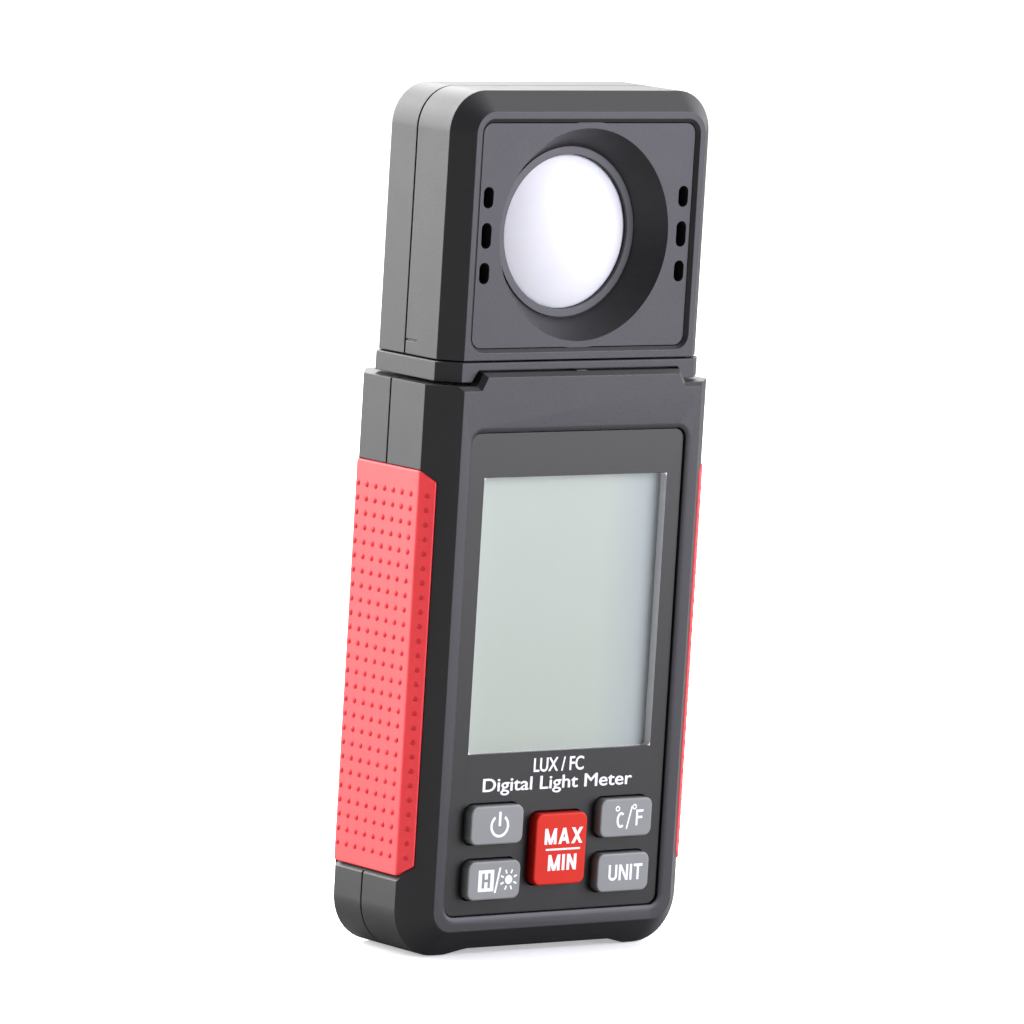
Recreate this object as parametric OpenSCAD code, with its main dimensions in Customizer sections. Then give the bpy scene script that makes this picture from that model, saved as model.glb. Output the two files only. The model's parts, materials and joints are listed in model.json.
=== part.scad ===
// Handheld light meter with a swivelling sensor head.
// Millimetres. +Z is up the meter, the display faces -Y, and the origin is the
// centre of the base. The head turns about the Z axis.

/* [Body] */
// Width of the body across its side walls
body_w = 64; // [62:0.5:66]
// Height of the body's shoulders
body_h = 103; // [102.8:0.1:103.1]
// Distance from the swivel axis to the body's front face
body_front = 14.1; // [14:0.1:14.4]
// Distance from the swivel axis to the body's back face
body_back = 15.3; // [15.1:0.1:15.5]
// Width of the chamfer along the body's long edges
body_chamfer = 5; // [4.5:0.1:5.2]
// Radius of the body's lower corners
base_radius = 9; // [8.5:0.5:10]
// Height of the arch between the two feet
arch_h = 1.1; // [0.8:0.1:1.3]

/* [Head] */
// Width of the sensor head
head_w = 58.8; // [58:0.2:60]
// Depth of the sensor head
head_d = 24; // [23.6:0.2:24.4]
// Top of the sensor head above the base
head_top = 155.2; // [154.8:0.2:156.8]
// Width of the chamfer along the head's edges
head_chamfer = 3.5; // [3.2:0.1:3.8]
// Radius of the head's upper corners
head_radius = 7.5; // [7:0.5:8]

/* [Sensor] */
// Height of the sensor's centre above the base
sensor_z = 129.6; // [129.3:0.1:130]
// Radius of the funnel at the face of its bezel
funnel_r = 19.1; // [18.6:0.1:19.4]
// Radius of the white diffuser dome inside its ring
dome_r = 13.9; // [13.2:0.1:14]
// Height of the dome's crown above its rim
dome_h = 3.4; // [2.8:0.2:4.2]

/* [Display and keys] */
// Width of the display window
window_w = 41.4; // [40:0.2:42]
// Lower edge of the display window
window_low = 36.8; // [36.4:0.1:37.2]
// Upper edge of the display window
window_high = 86.6; // [85.4:0.1:87]
// How far a key moves when it is pressed
key_travel = 0.7; // [0.5:0.1:0.8]
// How far the keys stand out of the front panel
key_proud = 2; // [1.6:0.1:2]

/* [Swivel] */
// Outer radius of the hollow swivel shaft
shaft_r = 6; // [5.8:0.1:6.2]
// Turn to the right-hand stop, seen from above
turn_cw = 90; // [80:5:90]
// Turn to the left-hand stop, seen from above
turn_ccw = 180; // [170:5:180]

/* [Hidden] */
$fn = 64;
CORNER_FN = 32;   // arcs inside a hull
EPS = 0.01;       // overlap that joins solids, and thickness of a hull's end slabs
WALL = 2.6;       // back wall of the casing
SPLIT = 0.9;      // plane where the front and rear shells meet
GAP = 0.1;        // assembly clearance between fixed pieces
FREE = 0.3;       // clearance between pieces that move apart
SEAM_W = 0.2;     // width of each shell's half of the seam groove
SEAM_D = 0.45;    // depth of the seam groove
PANEL_GAP = 0.25; // gap round the front panel
BEZEL_GAP = 0.15; // gap round the sensor bezel and the grips

half_w = body_w / 2;
face_x = half_w - body_chamfer;          // edge between chamfer and front face
side_y = body_front - body_chamfer;      // edge between chamfer and side face
cavity_x = half_w - 2.4;
floor_y = -body_front + 3.4;             // back of the front wall behind the panel
roof = body_h - 2;                       // underside of the body's top wall

panel_y = -body_front + 0.8;             // face of the front panel
panel_back = panel_y + 1;
panel_x = 24.06;
panel_low = 7.8;
panel_high = 94.55;
bevel_w = 1.2;                           // sloped step round the front panel
bevel_y = -body_front + 0.4;             // foot of that step

tongue_top = body_h + 2.4;
tongue_foot_x = 23.6;
tongue_x = 22.3;
edge_bevel = 0.8;

grip_low = 14.9;
grip_high = 87.6;
grip_proud = 0.55;                       // to the tips of its studs
grip_depth = 1.3;
grip_wrap = 2.15;                        // how far the grip covers each chamfer
grip_slant = 1.9;                        // drop of its slanted ends

board_y = -body_front + 9.2;             // front face of the main board
board_t = 1.6;
board_x = 20.5;
board_low = 8.2;
board_high = 93.8;
board_posts = [[18, 31], [18, 91.2]];
case_bosses = [[24, 7], [24, 97.2]];

window_x = window_w / 2;
lcd_y = panel_back + 0.8;
lcd_t = 2.1;
backlight_t = 2;

// Each key: name, centre x, centre z, width, height
KEYS = [
  ["power", -14.7, 24.2, 11.8, 7],
  ["hold", -14.7, 14.2, 11.8, 7],
  ["maxmin", 0, 19.2, 11.6, 13],
  ["temp", 14.7, 24.2, 11.8, 7],
  ["unit", 14.7, 14.2, 11.8, 7]
];
KEY_GAP = 0.3;
KEY_R = 1.5;
key_face = panel_y - key_proud;
flange_y = floor_y + GAP;
flange_t = 0.8;
flange_lip = 0.65;
switch_h = 2.5;
switch_y = board_y - switch_h;           // face of a switch's case
plunger_y = switch_y - key_travel - GAP; // tip of its plunger at rest

bay_x = 17.4;
bay_low = 17.7;
bay_high = 69.9;
bay_floor = 0.8;
bay_wall = 1.2;
cell_r = 5.25;
cell_can = 43.5;
cell_nub = 1;
cell_pitch = 11.2;
cell_y = 6.6;
contact_t = 0.4;
door_x = 19.3;
door_low = 8.7;
door_high = 71.7;
door_t = 1.6;
door_y = body_back - door_t;
door_screw_z = 12.1;
tripod_z = 85.2;
tripod_len = 8;

hx = head_w / 2;
hy = head_d / 2;
head_low = 107.4;
collar_top = 107.1;
collar_low = 103.6;
collar_x = hx + 0.4;
collar_y = hy + 0.2;
collar_neck_r = 10;
collar_foot = roof - 1.6;
stop_r = 8.6;
stop_pin_r = 0.9;
bezel_x = 23.95;
bezel_low = 109.55;
bezel_high = 149.6;
bezel_y = -hy + 0.6;                     // face of the sensor bezel
bezel_t = 2.3;
step_w = 0.85;                           // width of the sloped step round it
ring_y = bezel_y + 5.4;                  // face of the ring round the dome
ring_w = 1.5;
funnel_floor_r = dome_r + ring_w + 0.15;
funnel_depth = ring_y + 0.2 - bezel_y;
vent_x = 22.1;
VENTS = [[136.4, 3.8], [129.6, 4.6], [122.9, 3.8]]; // centre height and length
head_bosses = [[25, 112.6], [23.4, 146.8]];
shaft_bore = 4.2;
shaft_end = 96.2;
shaft_head = head_low + 2.1;           // underside of the shaft's flange
lead_z = 89.2;                           // height where the lead turns to the board
washer_t = 0.5;
clip_t = 0.8;

BLACK = [0.13, 0.13, 0.14];
PANEL = [0.2, 0.2, 0.2];
RED = [0.9, 0.2, 0.22];
GREY = [0.55, 0.55, 0.56];
STEEL = [0.72, 0.72, 0.74];
BRASS = [0.8, 0.66, 0.35];
GREEN = [0.1, 0.35, 0.2];

// ---------- shared shapes ----------

// Extrudes an outline drawn in X and Z from one Y plane to another
module along_y(y0, y1) {
  translate([0, y1, 0]) rotate([90, 0, 0]) linear_extrude(y1 - y0) children();
}

module disc(x, z, r, y0, y1) {
  translate([x, y1, z]) rotate([90, 0, 0]) cylinder(h = y1 - y0, r = r);
}

module block(x0, x1, y0, y1, z0, z1) {
  translate([x0, y0, z0]) cube([x1 - x0, y1 - y0, z1 - z0]);
}

module both_sides() {
  children();
  mirror([1, 0, 0]) children();
}

// Rectangle in X and Z with four round corners
module rounded(x, z0, z1, r) {
  union() {
    translate([-x + r, z0]) square([2 * (x - r), z1 - z0]);
    translate([-x, z0 + r]) square([2 * x, z1 - z0 - 2 * r]);
    for (cx = [-x + r, x - r], cz = [z0 + r, z1 - r])
      translate([cx, cz]) circle(r);
  }
}

// Quarter arc of points about a centre
function arc(cx, cz, r, from, to, n = 12) =
  [for (i = [0:n]) let (a = from + (to - from) * i / n)
    [cx + r * cos(a), cz + r * sin(a)]];

// Outline that is round at its lower corners and square at its top
module foot_outline(x, z0, z1, r)
  polygon(concat([[x, z1], [-x, z1]], arc(-x + r, z0 + r, r, 180, 270),
                 arc(x - r, z0 + r, r, 270, 360)));

// Outline that is round at its upper corners and square at its base
module crown_outline(x, z0, z1, r)
  polygon(concat([[-x, z0], [x, z0]], arc(x - r, z1 - r, r, 0, 90),
                 arc(-x + r, z1 - r, r, 90, 180)));

// Solid between three outlines: front face, middle and back face
module lofted(y0, y1, y2, y3) {
  hull() {
    along_y(y0, y0 + EPS) children(0);
    along_y(y1, y2) children(1);
    along_y(y3 - EPS, y3) children(2);
  }
}

module cut_front() block(-50, 50, -50, SPLIT, -10, 200);
module cut_rear() block(-50, 50, SPLIT, 50, -10, 200);

// Everything outside an outline, in a thin slab along Y
module rim_cut(y0, y1) {
  along_y(y0, y1) difference() {
    translate([-50, -20]) square([100, 220]);
    children();
  }
}

// Grooves beside the parting line, half in each shell
module body_seam(y0, y1)
  rim_cut(y0, y1) foot_outline(half_w - SEAM_D, SEAM_D, body_h - SEAM_D, base_radius - SEAM_D);

module head_seam(y0, y1)
  rim_cut(y0, y1) crown_outline(hx - SEAM_D, head_low + SEAM_D, head_top - SEAM_D, head_radius - SEAM_D);

// Pan-head screw along Y, its head at the back
module screw(x, z, y_head, length, r, head_r, head_h) {
  difference() {
    union() {
      disc(x, z, head_r, y_head - head_h, y_head);
      disc(x, z, r, y_head - head_h - length, y_head - head_h + EPS);
    }
    for (turn = [0, 90])
      translate([x, y_head, z]) rotate([0, turn, 0])
        cube([head_r * 1.2, 0.9, 0.5], center = true);
  }
}

// ---------- body casing ----------

module body_solid() {
  lofted(-body_front, -side_y, side_y, body_back) {
    foot_outline(face_x, body_chamfer, body_h, base_radius - body_chamfer);
    foot_outline(half_w, 0, body_h, base_radius);
    foot_outline(face_x, body_chamfer, body_h, base_radius - body_chamfer);
  }
}

module body_cavity() {
  lofted(floor_y, -side_y + 0.7, side_y - 0.7, body_back - WALL) {
    foot_outline(face_x + 0.3, 4.7, roof, 5.3);
    foot_outline(cavity_x, 2.4, roof, base_radius - 2.4);
    foot_outline(face_x - 0.2, 5, roof, 5);
  }
}

// Arch between the feet, right through the base
module base_arch() {
  along_y(-20, 20)
    polygon([[-20.5, -1], [-20.5, 0], [-19.6, 0.2], [-17, arch_h - 0.2],
             [-16, arch_h], [16, arch_h], [17, arch_h - 0.2],
             [19.6, 0.2], [20.5, 0], [20.5, -1]]);
}

// Cross-section of a left-hand grip between two offsets from the casing
module grip_section(out, deep) {
  y = side_y;
  k = 0.4142;
  w = grip_wrap;
  polygon([
    [-half_w + w - out * 0.7, -y - w - out * 0.7],
    [-half_w - out, -y - out * k],
    [-half_w - out, y + out * k],
    [-half_w + w - out * 0.7, y + w + out * 0.7],
    [-half_w + w + deep * 0.7, y + w - deep * 0.7],
    [-half_w + deep, y - deep * k],
    [-half_w + deep, -y + deep * k],
    [-half_w + w + deep * 0.7, -y - w + deep * 0.7]
  ]);
}

// Left-hand grip, or with room > 0 the pocket that it sits in
module grip_solid(out, deep, room) {
  y = side_y;
  w = grip_wrap + 1.5;
  s = grip_slant * w / grip_wrap;
  intersection() {
    translate([0, 0, grip_low - room])
      linear_extrude(grip_high - grip_low + 2 * room)
        offset(delta = room) grip_section(out, deep);
    rotate([90, 0, 90])
      translate([0, 0, -half_w - 5])
        linear_extrude(15)
          polygon([
            [-y, grip_low - room], [y, grip_low - room],
            [y + w, grip_low - room + s], [y + w, grip_high + room - s],
            [y, grip_high + room], [-y, grip_high + room],
            [-y - w, grip_high + room - s], [-y - w, grip_low - room + s]
          ]);
  }
}

// Bevel of the casing under the lower end of a grip
module grip_bevel() {
  translate([-half_w, 0, grip_low - 1])
    rotate([0, 40, 0])
      block(-4, 0, -side_y - 0.4, side_y + 0.4, 0, 2);
}

// Round hole and key slot in the casing's roof for the collar's neck
module neck_opening() {
  translate([0, 0, roof - 2]) cylinder(h = 10, r = collar_neck_r + GAP);
  block(-14, 14, -1.6, 1.6, roof - 1, body_h + 1);
}

module front_shell() {
  color(BLACK) difference() {
    union() {
      difference() {
        body_solid();
        cut_rear();
        body_cavity();
        // bevel along the top front edge
        translate([0, -body_front, body_h]) rotate([45, 0, 0])
          cube([body_w, edge_bevel * 1.414, edge_bevel * 1.414], center = true);
        both_sides() grip_solid(1, grip_depth, BEZEL_GAP);
        both_sides() grip_bevel();
        body_seam(SPLIT - SEAM_W, SPLIT + 1);
      }
      // tongue in front of the swivel collar
      hull() {
        along_y(-body_front + edge_bevel, -body_front + 3.1)
          polygon([[-tongue_foot_x, body_h - 2.5], [tongue_foot_x, body_h - 2.5],
                   [tongue_foot_x, body_h], [tongue_x, tongue_top],
                   [-tongue_x, tongue_top], [-tongue_foot_x, body_h]]);
        along_y(-body_front, -body_front + EPS)
          polygon([[-tongue_foot_x + 0.6, body_h - 2.5], [tongue_foot_x - 0.6, body_h - 2.5],
                   [tongue_foot_x - 0.6, body_h - 0.8], [tongue_x - 0.6, tongue_top - 0.8],
                   [-tongue_x + 0.6, tongue_top - 0.8], [-tongue_foot_x + 0.6, body_h - 0.8]]);
      }
      block(-1.2, 1.2, -body_front + 1, -body_front + 2.5, body_h, tongue_top + 0.15);
      both_sides() for (p = case_bosses) disc(p[0], p[1], 2.6, floor_y - EPS, SPLIT - GAP);
      both_sides() for (p = board_posts) disc(p[0], p[1], 2, floor_y - EPS, board_y);
    }
    base_arch();
    neck_opening();
    // sloped step and seat of the front panel
    hull() {
      along_y(-body_front - EPS, -body_front)
        rounded(panel_x + bevel_w, panel_low - bevel_w, panel_high + bevel_w, 3, $fn = CORNER_FN);
      along_y(bevel_y - EPS, bevel_y)
        rounded(panel_x + PANEL_GAP, panel_low - PANEL_GAP, panel_high + PANEL_GAP, 2, $fn = CORNER_FN);
    }
    along_y(bevel_y - 0.1, panel_back)
      rounded(panel_x + PANEL_GAP, panel_low - PANEL_GAP, panel_high + PANEL_GAP, 2);
    along_y(-20, -10) rounded(window_x + 2.4, window_low - 3.8, window_high + 2.4, 1);
    for (k = KEYS) key_prism(k, KEY_GAP, -20, -10);
    both_sides() for (p = case_bosses) disc(p[0], p[1], 1.05, -9, 5);
    both_sides() for (p = board_posts) disc(p[0], p[1], 0.85, -9.5, 0);
  }
}

module rear_shell() {
  color(BLACK) difference() {
    union() {
      difference() {
        body_solid();
        cut_front();
        body_cavity();
        both_sides() grip_solid(1, grip_depth, BEZEL_GAP);
        both_sides() grip_bevel();
        body_seam(SPLIT - 1, SPLIT + SEAM_W);
      }
      both_sides() for (p = case_bosses) disc(p[0], p[1], 2.6, SPLIT + GAP, body_back - WALL + EPS);
      block(-bay_x - bay_wall, bay_x + bay_wall, bay_floor - bay_wall, body_back - WALL + EPS,
            bay_low - bay_wall, bay_high + bay_wall);
      disc(0, tripod_z, 7, body_back - tripod_len - 1, body_back - WALL + EPS);
      disc(0, door_screw_z, 3, 3, body_back - WALL + EPS);
    }
    base_arch();
    neck_opening();
    block(-bay_x, bay_x, bay_floor, 20, bay_low, bay_high);
    along_y(door_y - FREE, 20) rounded(door_x + FREE, door_low - FREE, door_high + FREE, 2.2);
    disc(0, door_screw_z, 1.27, 4, 20);
    disc(0, tripod_z, 5, body_back - tripod_len, 20);
    both_sides() for (p = case_bosses) {
      disc(p[0], p[1], 1.4, -5, 20);
      disc(p[0], p[1], 2.4, body_back - 3.2, 20);
    }
  }
}

module left_grip() color(RED) grip_solid(grip_proud, grip_depth - 0.1, 0);
module right_grip() mirror([1, 0, 0]) left_grip();

// ---------- front panel and display ----------

module key_prism(k, grow, y0, y1) {
  translate([k[1], 0, k[2]])
    along_y(y0, y1)
      rounded(k[3] / 2 + grow, -k[4] / 2 - grow, k[4] / 2 + grow, KEY_R + grow);
}

module front_panel() {
  color(PANEL) difference() {
    along_y(panel_y, panel_back - 0.02) rounded(panel_x, panel_low, panel_high, 1.9);
    along_y(-20, 0) rounded(window_x, window_low, window_high, 0.8);
    for (k = KEYS) key_prism(k, KEY_GAP, -20, 0);
  }
}

module display_lens() {
  color([0.8, 0.9, 0.9, 0.4])
    along_y(panel_y + 0.05, panel_back - 0.02)
      rounded(window_x - 0.03, window_low + 0.03, window_high - 0.03, 0.77);
}

module lcd_bezel() {
  color([0.75, 0.76, 0.78]) difference() {
    union() {
      along_y(panel_back, board_y - 0.05)
        rounded(window_x + 2.2, window_low - 3.6, window_high + 2.2, 1);
    }
    along_y(-20, 0) rounded(window_x, window_low, window_high, 0.8);
    block(-window_x - 1.3, window_x + 1.3, lcd_y, 0, window_low - 2.8, window_high + 1.2);
  }
}

module lcd_glass() {
  color([0.78, 0.83, 0.8])
    block(-window_x - 1.2, window_x + 1.2, lcd_y + 0.02, lcd_y + lcd_t, window_low - 2.7, window_high + 1.1);
}

module backlight_plate() {
  color("white")
    block(-window_x - 1.1, window_x + 1.1, lcd_y + lcd_t + 0.02, lcd_y + lcd_t + backlight_t,
          window_low, window_high + 1);
}

module lcd_connector() {
  color([0.8, 0.45, 0.5])
    block(-window_x + 1, window_x - 1, lcd_y + lcd_t + 0.02, board_y - 0.02,
          window_low - 2.4, window_low - 0.6);
}

// ---------- electronics ----------

module main_board() {
  color(GREEN) difference() {
    block(-board_x, board_x, board_y, board_y + board_t, board_low, board_high);
    both_sides() for (p = board_posts) disc(p[0], p[1], 1.1, -20, 20);
  }
}

module board_chips() {
  y = board_y + board_t + 0.01;
  color([0.1, 0.1, 0.1]) {
    block(-13, -1, y, y + 1.4, 43, 55);
    block(5, 11, y, y + 1.2, 45, 53);
    block(-12, -6, y, y + 1.2, 29, 33);
    for (i = [0:4]) block(3 + 3 * i, 4.6 + 3 * i, y, y + 0.8, 35, 37.4);
  }
}

module buzzer() {
  y = board_y + board_t + 0.01;
  color([0.12, 0.12, 0.12]) difference() {
    disc(12, 81, 4.8, y, y + 3);
    disc(12, 81, 0.9, y + 1.5, y + 5);
  }
}

module key_mat() {
  color(GREY) difference() {
    along_y(floor_y + 0.01, floor_y + 0.5) rounded(22.6, 9.8, 28.7, 1);
    for (k = KEYS) key_prism(k, flange_lip + 0.3, -20, 0);
  }
}

module key(i) {
  k = KEYS[i];
  color(i == 2 ? RED : GREY) {
    key_prism(k, 0, key_face, flange_y + EPS);
    key_prism(k, flange_lip, flange_y, flange_y + flange_t);
    disc(k[1], k[2], 1.5, flange_y + flange_t - EPS, plunger_y);
  }
}

module plunger(i) {
  k = KEYS[i];
  color([0.15, 0.15, 0.15]) disc(k[1], k[2], 1.2, plunger_y + 0.01, switch_y + 1.1);
}

module key_switches() {
  color(STEEL) for (k = KEYS) difference() {
    block(k[1] - 3, k[1] + 3, switch_y, board_y - 0.01, k[2] - 3, k[2] + 3);
    disc(k[1], k[2], 1.3, switch_y - 1, board_y - 0.4);
  }
}

module board_screws() {
  color(STEEL) both_sides() for (p = board_posts)
    screw(p[0], p[1], board_y + board_t + 1.2, 4.2, 0.8, 1.7, 1.15);
}

module case_screws() {
  color(STEEL) both_sides() for (p = case_bosses)
    screw(p[0], p[1], body_back - 1.6, 17, 1, 2.1, 1.5);
}

module lead_socket() {
  y = board_y + board_t + 0.01;
  color("ivory") block(-3, 3, y, y + 1.2, 86.7, 91.7);
}

// ---------- power ----------

module battery_door() {
  color(BLACK) difference() {
    along_y(door_y, body_back) rounded(door_x, door_low, door_high, 2);
    disc(0, door_screw_z, 2.6, body_back - 1.1, 20);
    disc(0, door_screw_z, 1.5, 0, 20);
    for (i = [0:4])
      along_y(body_back - 0.5, 20)
        translate([0, 58 + 2.4 * i]) rounded(7, -0.5, 0.5, 0.49);
  }
}

module door_screw() color(STEEL) screw(0, door_screw_z, body_back - 0.15, 8, 1.2, 2.4, 0.9);

// One AAA cell. Its positive nub points up or down
module battery(i) {
  up = i != 1;
  z0 = up ? bay_high - contact_t - cell_nub - cell_can : bay_low + contact_t + cell_nub;
  translate([(i - 1) * cell_pitch, cell_y, z0]) {
    color([0.15, 0.3, 0.5]) cylinder(h = cell_can, r = cell_r);
    color(STEEL) translate([0, 0, up ? cell_can - EPS : -cell_nub]) cylinder(h = cell_nub + EPS, r = 1.9);
  }
}

// Tapered helical spring as one swept tube
module spring(x, z, up) {
  turns = 4;
  steps = 16 * turns;
  sides = 6;
  wire = 0.35;
  height = bay_high - bay_low - 2 * contact_t - cell_nub - cell_can - 2 * wire - 0.04;
  function at(i) = let (t = i / steps, a = 360 * turns * t, r = 3.6 - 1.4 * t)
    [r * cos(a), r * sin(a), wire + 0.02 + height * t];
  rings = [for (i = [0:steps]) let (c = at(i), a = 360 * turns * i / steps)
    [for (s = [0:sides - 1]) let (b = 360 * s / sides)
      c + [wire * cos(b) * cos(a), wire * cos(b) * sin(a), wire * sin(b)]]];
  points = [for (ring = rings) for (p = ring) p];
  faces = concat(
    [[for (s = [0:sides - 1]) s]],
    [[for (s = [sides - 1:-1:0]) steps * sides + s]],
    [for (i = [0:steps - 1]) for (s = [0:sides - 1]) let (n = (s + 1) % sides)
      [i * sides + s, (i + 1) * sides + s, (i + 1) * sides + n, i * sides + n]]);
  translate([x, cell_y, z]) mirror([0, 0, up ? 0 : 1]) polyhedron(points, faces);
}

module battery_springs() {
  color(STEEL) {
    spring(-cell_pitch, bay_low + contact_t, true);
    spring(0, bay_high - contact_t, false);
    spring(cell_pitch, bay_low + contact_t, true);
  }
}

module battery_contacts() {
  color(STEEL) for (z = [bay_low + 0.01, bay_high - contact_t + 0.01])
    for (i = [-1:1])
      block(i * cell_pitch - 4.6, i * cell_pitch + 4.6, cell_y - 4.6, cell_y + 4.6, z, z + contact_t - 0.02);
}

module tripod_bush() {
  color(BRASS) difference() {
    disc(0, tripod_z, 4.95, body_back - tripod_len, body_back - 0.1);
    disc(0, tripod_z, 2.55, 0, 20);
  }
}

// ---------- swivel ----------

module collar_body() {
  hull() {
    translate([0, 0, collar_low]) linear_extrude(collar_top - 0.15 - collar_low)
      octagon(collar_x, collar_y, head_chamfer);
    translate([0, 0, collar_top - EPS]) linear_extrude(EPS)
      octagon(collar_x - 0.15, collar_y - 0.15, head_chamfer);
  }
}

module octagon(x, y, c)
  polygon([[-x, -y + c], [-x + c, -y], [x - c, -y], [x, -y + c],
           [x, y - c], [x - c, y], [-x + c, y], [-x, y - c]]);

module neck_collar() {
  color(BLACK) difference() {
    union() {
      collar_body();
      translate([0, 0, collar_foot]) cylinder(h = collar_low - collar_foot + 1, r = collar_neck_r);
      block(-13.8, 13.8, -1.5, 1.5, roof - 0.9, collar_low + 1);
      block(-13.8, 13.8, -8, 8, collar_foot, roof - GAP);
    }
    // notch that clears the body's tongue
    along_y(-20, -body_front + 3.7)
      polygon([[-tongue_foot_x - 0.6, collar_low - 1], [tongue_foot_x + 0.6, collar_low - 1],
               [tongue_foot_x + 0.4, collar_low], [tongue_x + 0.3, tongue_top + 0.3],
               [-tongue_x - 0.3, tongue_top + 0.3], [-tongue_foot_x - 0.4, collar_low]]);
    translate([0, 0, 90]) cylinder(h = 30, r = shaft_r + 0.05);
    // groove that limits the head's turn
    translate([0, 0, collar_top - 1.2])
      rotate([0, 0, -90 - turn_cw - 8])
        rotate_extrude(angle = turn_cw + turn_ccw + 16)
          translate([stop_r - stop_pin_r - 0.2, 0]) square([2 * stop_pin_r + 0.4, 2]);
  }
}

module swivel_shaft() {
  color(STEEL) difference() {
    union() {
      translate([0, 0, shaft_end]) cylinder(h = shaft_head + 1.2 - shaft_end, r = shaft_r);
      translate([0, 0, shaft_head]) cylinder(h = 1.2, r = 7.6);
      block(-11, 11, -2, 2, shaft_head, shaft_head + 1.2);
    }
    translate([0, 0, 90]) cylinder(h = 40, r = shaft_bore);
    translate([0, 0, collar_foot - washer_t - clip_t - 0.02]) difference() {
      cylinder(h = clip_t + 0.02, r = shaft_r + 1);
      cylinder(h = clip_t + 0.02, r = shaft_r - 0.8);
    }
  }
}

module swivel_washer() {
  color(STEEL) translate([0, 0, collar_foot - washer_t]) difference() {
    cylinder(h = washer_t - 0.01, r = 10);
    translate([0, 0, -1]) cylinder(h = 3, r = shaft_r + 0.15);
  }
}

module swivel_clip() {
  color(STEEL) translate([0, 0, collar_foot - washer_t - clip_t - 0.01])
    rotate([0, 0, 30]) rotate_extrude(angle = 300)
      translate([shaft_r - 0.75, 0]) square([2.6, clip_t - 0.02]);
}

module sensor_lead_upper() {
  color([0.25, 0.25, 0.27]) translate([0, 0, shaft_end - 1])
    cylinder(h = sensor_z - 13.1 - shaft_end, r = 1.6);
}

module sensor_lead_lower() {
  color([0.25, 0.25, 0.27]) {
    translate([0, 0, lead_z]) cylinder(h = shaft_end - 1 - FREE - lead_z, r = 1.6);
    translate([0, 0, lead_z]) sphere(r = 1.6);
    disc(0, lead_z, 1.6, board_y + board_t + 1.22, 0);
  }
}

// ---------- head ----------

module head_solid() {
  hull() {
    along_y(-hy, -hy + EPS)
      crown_outline(hx - head_chamfer, head_low, head_top - head_chamfer, head_radius - head_chamfer);
    along_y(-hy + head_chamfer, hy - head_chamfer)
      crown_outline(hx, head_low, head_top, head_radius);
    along_y(hy - EPS, hy)
      crown_outline(hx - head_chamfer, head_low, head_top - head_chamfer, head_radius - head_chamfer);
  }
}

module head_cavity() {
  lofted(-hy + 2, -hy + head_chamfer + 0.8, hy - head_chamfer - 0.8, hy - 2) {
    crown_outline(hx - head_chamfer - 0.3, head_low + 2, head_top - head_chamfer - 0.3, 4);
    crown_outline(hx - 2, head_low + 2, head_top - 2, head_radius - 2);
    crown_outline(hx - head_chamfer - 0.3, head_low + 2, head_top - head_chamfer - 0.3, 4);
  }
}

// Seats in both head shells for the shaft and its anti-turn lugs
module shaft_seat() {
  translate([0, 0, 100]) cylinder(h = 11, r = shaft_r + 0.1);
}

module shaft_clamp(y0, y1) {
  difference() {
    block(-13.5, 13.5, y0, y1, head_low + 1, shaft_head + 3.6);
    translate([0, 0, shaft_head - GAP]) cylinder(h = 1.4, r = 7.7);
    block(-11.1, 11.1, -2.1, 2.1, shaft_head - GAP, shaft_head + 1.3);
    translate([0, 0, 100]) cylinder(h = 20, r = shaft_r + 0.1);
  }
}

module head_front_shell() {
  color(BLACK) difference() {
    union() {
      difference() {
        head_solid();
        cut_rear();
        head_cavity();
        head_seam(SPLIT - SEAM_W, SPLIT + 1);
      }
      // ledge behind the sensor bezel
      along_y(bezel_y + bezel_t, bezel_y + bezel_t + 1.4)
        crown_outline(27, head_low + 1, head_top - 3, 5.5);
      shaft_clamp(-7, SPLIT - 0.02);
      both_sides() for (p = head_bosses) disc(p[0], p[1], 2.6, bezel_y + bezel_t, SPLIT - GAP);
      // pin that runs in the collar's groove
      translate([0, -stop_r, collar_top - 0.9]) cylinder(h = 2, r = stop_pin_r);
    }
    along_y(-20, bezel_y + bezel_t)
      rounded(bezel_x + BEZEL_GAP, bezel_low - BEZEL_GAP, bezel_high + BEZEL_GAP, 2);
    hull() {
      along_y(-hy - EPS, -hy)
        rounded(bezel_x + step_w, bezel_low - step_w, bezel_high + step_w, 2.8, $fn = CORNER_FN);
      along_y(bezel_y - EPS, bezel_y)
        rounded(bezel_x + BEZEL_GAP, bezel_low - BEZEL_GAP, bezel_high + BEZEL_GAP, 2, $fn = CORNER_FN);
    }
    along_y(-20, -5) rounded(23.4, 114.4, 148.2, 2);
    shaft_seat();
    funnel_cone(0.15);
    // pry slots beside the parting line
    both_sides() block(-hx - 1, -hx + 0.4, SPLIT - 3.5, 5, bezel_low + 0.2, bezel_low + 0.55);
    both_sides() for (p = head_bosses) disc(p[0], p[1], 0.85, -6.5, 5);
  }
}

module head_rear_shell() {
  color(BLACK) difference() {
    union() {
      difference() {
        head_solid();
        cut_front();
        head_cavity();
        head_seam(SPLIT - 1, SPLIT + SEAM_W);
      }
      shaft_clamp(SPLIT + 0.02, 7);
      both_sides() for (p = head_bosses) disc(p[0], p[1], 2.6, SPLIT + GAP, hy - 2 + EPS);
    }
    shaft_seat();
    both_sides() for (p = head_bosses) {
      disc(p[0], p[1], 1.15, -5, 20);
      disc(p[0], p[1], 2.1, hy - 2.4, 20);
    }
  }
}

module head_screws() {
  color(STEEL) both_sides() for (p = head_bosses)
    screw(p[0], p[1], hy - 1.1, 14, 0.8, 1.9, 1.2);
}

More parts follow.
